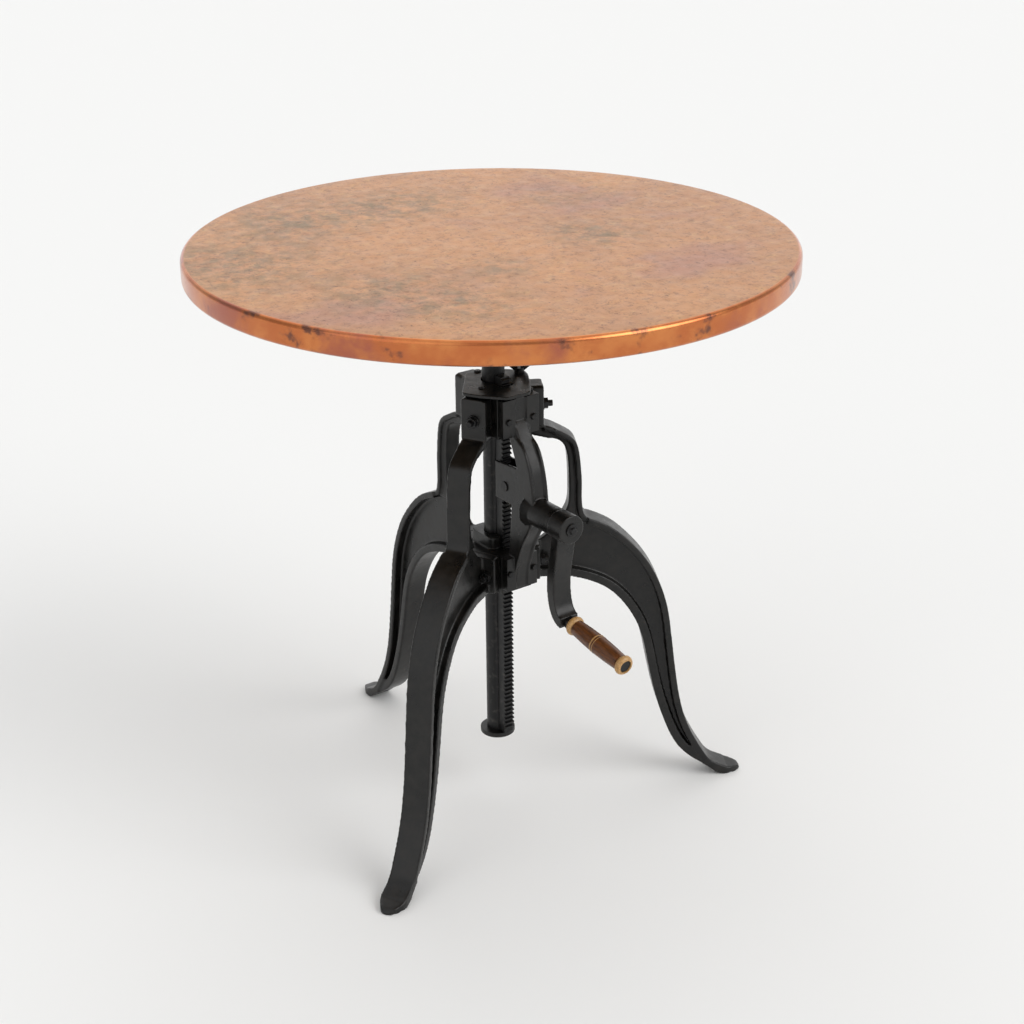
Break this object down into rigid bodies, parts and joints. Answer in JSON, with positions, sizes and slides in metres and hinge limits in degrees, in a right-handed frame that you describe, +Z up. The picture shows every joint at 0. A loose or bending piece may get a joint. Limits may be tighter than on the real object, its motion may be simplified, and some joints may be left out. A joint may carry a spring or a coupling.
{
  "type": "crank table",
  "caption": "Round copper-clad table on a cast iron tripod, raised and lowered by a hand crank, worm, pinion and rack.",
  "frame": {"origin": "on the floor under the post's axis", "axes": "+Z up, the crank shaft points along -Y"},
  "size_m": [0.7619, 0.762, 0.778],
  "materials": {
    "black_iron": "satin black painted casting",
    "black_steel": "satin black",
    "cut_steel": "machined and greased",
    "bronze": "machined",
    "board": "sealed board",
    "copper": "aged and lacquered copper sheet",
    "stained_beech": "stained and varnished, pale at its ends"
  },
  "bodies": {
    "base": {"leg_front_left": "black_iron", "leg_front_right": "black_iron", "leg_back": "black_iron", "top_hub": "black_iron", "low_hub": "black_iron", "cap_plate": "black_iron", "cap_screws": "black_steel", "gear_housing": "black_iron", "boss_bushes": "bronze", "pinion_pin": "black_steel", "leg_studs": "black_steel", "leg_washers": "black_steel", "leg_nuts": "black_steel", "housing_screws": "black_steel"},
    "column": {"post": "black_steel", "rack": "black_steel", "stop_flange": "black_iron", "spider": "black_iron", "spider_set_screw": "black_steel", "top_screws": "black_steel", "table_core": "board", "copper_sheet": "copper"},
    "pinion": {"pinion": "cut_steel"},
    "crank": {"crank_shaft": "cut_steel", "shaft_collar": "cut_steel", "crank_arm": "black_iron", "crank_bolt": "black_steel", "grip_axle": "black_steel", "axle_nut": "black_steel"},
    "grip": {"grip": "stained_beech"},
    "wing_screw": {"wing_screw": "black_steel"}
  },
  "joints": [
    {"name": "crank_turn", "type": "hinge", "parent": "base", "child": "crank", "pos_m": [0, -0.1, 0.446], "axis": [0, 1, 0], "range_deg": [-4583.16, 12031.61]},
    {"name": "lift", "type": "slide", "parent": "base", "child": "column", "axis": [0, 0, 1], "range_m": [-0.08, 0.21]},
    {"name": "pinion_turn", "type": "hinge", "parent": "base", "child": "pinion", "pos_m": [0, -0.04, 0.466], "axis": [1, 0, 0], "range_deg": [-382.47, 1003.18]},
    {"name": "grip_spin", "type": "hinge", "parent": "crank", "child": "grip", "pos_m": [0, -0.168, 0.3165], "axis": [0, -0.9903, -0.1392], "continuous": true},
    {"name": "wing_screw_turn", "type": "hinge", "parent": "base", "child": "wing_screw", "pos_m": [0.043, 0.003, 0.598], "axis": [0, 0, 1], "range_deg": [0, 720]}
  ],
  "couplings": [
    {"joint": "lift", "follows": "crank_turn", "m_per_rad": 0.001},
    {"joint": "pinion_turn", "follows": "crank_turn", "ratio": 0.083333}
  ]
}
